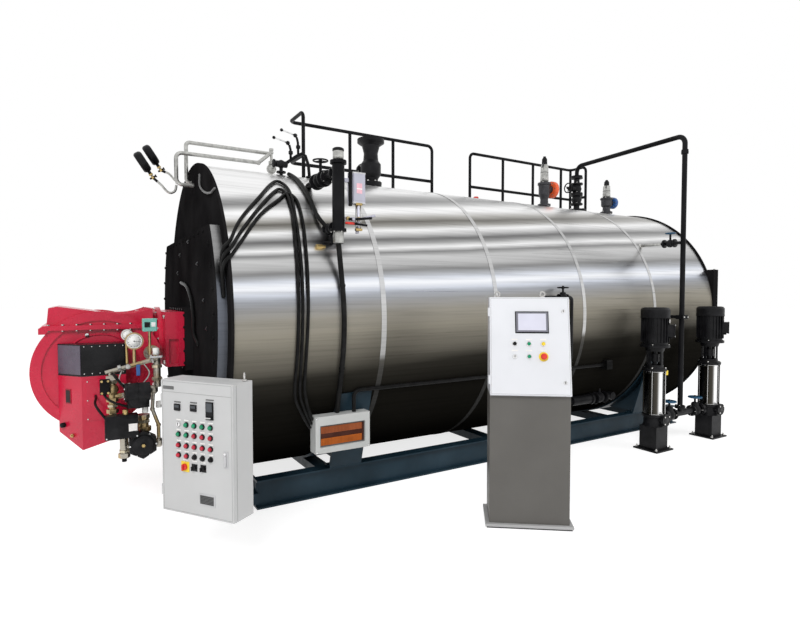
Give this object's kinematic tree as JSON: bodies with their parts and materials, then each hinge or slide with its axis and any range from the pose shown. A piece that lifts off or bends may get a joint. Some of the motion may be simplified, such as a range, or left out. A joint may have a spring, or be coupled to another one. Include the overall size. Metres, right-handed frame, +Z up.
{
  "type": "packaged fire-tube steam boiler",
  "caption": "Horizontal packaged steam boiler on a skid, with mirror steel jacket, red burner, control cabinet, console, feed pumps and top fittings.",
  "frame": {"origin": "on the floor, under the middle of the skid and half-way along the jacket", "axes": "+X along the drum axis from the burner end to the rear, +Z up, the console and pumps stand on the -Y side"},
  "size_m": [6.494, 3.5056, 3.204],
  "materials": {
    "jacket_sheet": "mirror polished stainless sheet",
    "seam_band": "stainless band",
    "drum_steel": "plain boiler plate, painted grey",
    "plate_black": "black heat-proof paint",
    "front_box_steel": "stainless wrapping",
    "burner_red": "glossy red",
    "box_black": "satin black",
    "train_brass": "yellow passivated fittings",
    "actuator_black": "moulded black",
    "cabinet_grey": "light grey powder coat",
    "skid_navy": "dark blue-green paint",
    "plinth_dark": "dark grey paint",
    "column_grey": "warm grey paint",
    "desk_white": "white powder coat",
    "panel_dark": "dark bezel with a glass front",
    "terminal_grey": "light grey paint",
    "valve_black": "black painted casting",
    "valve_bronze": "dark bronze castings",
    "pipe_black": "black painted tube",
    "transmitter_white": "white paint",
    "pipe_galvanised": "galvanised tube",
    "gauge_black": "black cases",
    "cable_black": "black sheath",
    "pump_black": "black painted castings",
    "pump_steel": "polished stainless tube"
  },
  "bodies": {
    "package": {"jacket": "jacket_sheet", "seam_bands": "seam_band", "drum_shell": "drum_steel", "front_plate": "plate_black", "rear_plate": "plate_black", "front_box": "front_box_steel", "front_door": "plate_black", "burner_block": "burner_red", "burner_fan_housing": "burner_red", "burner_air_box": "burner_red", "burner_control_box": "box_black", "gas_train": "train_brass", "gas_actuators": "actuator_black", "cabinet_body": "cabinet_grey", "cabinet_bracket": "skid_navy", "console_plinth": "plinth_dark", "console_column": "column_grey", "console_desk": "desk_white", "terminal_box": "terminal_grey", "skid_beams": "skid_navy", "skid_cross_members": "skid_navy", "saddles": "skid_navy", "steam_outlet_valve": "valve_black", "safety_valves": "valve_bronze", "feed_check_valve": "valve_black", "feed_crossover": "pipe_black", "feed_riser": "pipe_black", "water_column": "valve_black", "level_transmitter": "transmitter_white", "gauge_pipe": "pipe_galvanised", "pressure_gauges": "gauge_black", "cables": "cable_black", "conduits": "cable_black", "pump_bases": "pump_black", "pump_sleeves": "pump_steel", "pump_motors": "pump_black", "pump_manifold": "pipe_black", "handrail_front": "pipe_black", "handrail_rear": "pipe_black", "side_valve": "valve_black", "blowdown_pipe": "valve_black"},
    "cabinet_door": {"cabinet_door": "cabinet_grey"},
    "console_door": {"console_door": "desk_white", "touch_panel": "panel_dark"}
  },
  "joints": [
    {"name": "cabinet_door_hinge", "type": "hinge", "parent": "package", "child": "cabinet_door", "pos_m": [-3.09404, -1.45574, 0.684], "axis": [0, 0, -1], "range_deg": [0, 110]},
    {"name": "console_door_hinge", "type": "hinge", "parent": "package", "child": "console_door", "pos_m": [-1.2214, -1.9128, 1.15666], "axis": [-0.1336, -0.1773, -0.9751], "range_deg": [0, 100]}
  ]
}
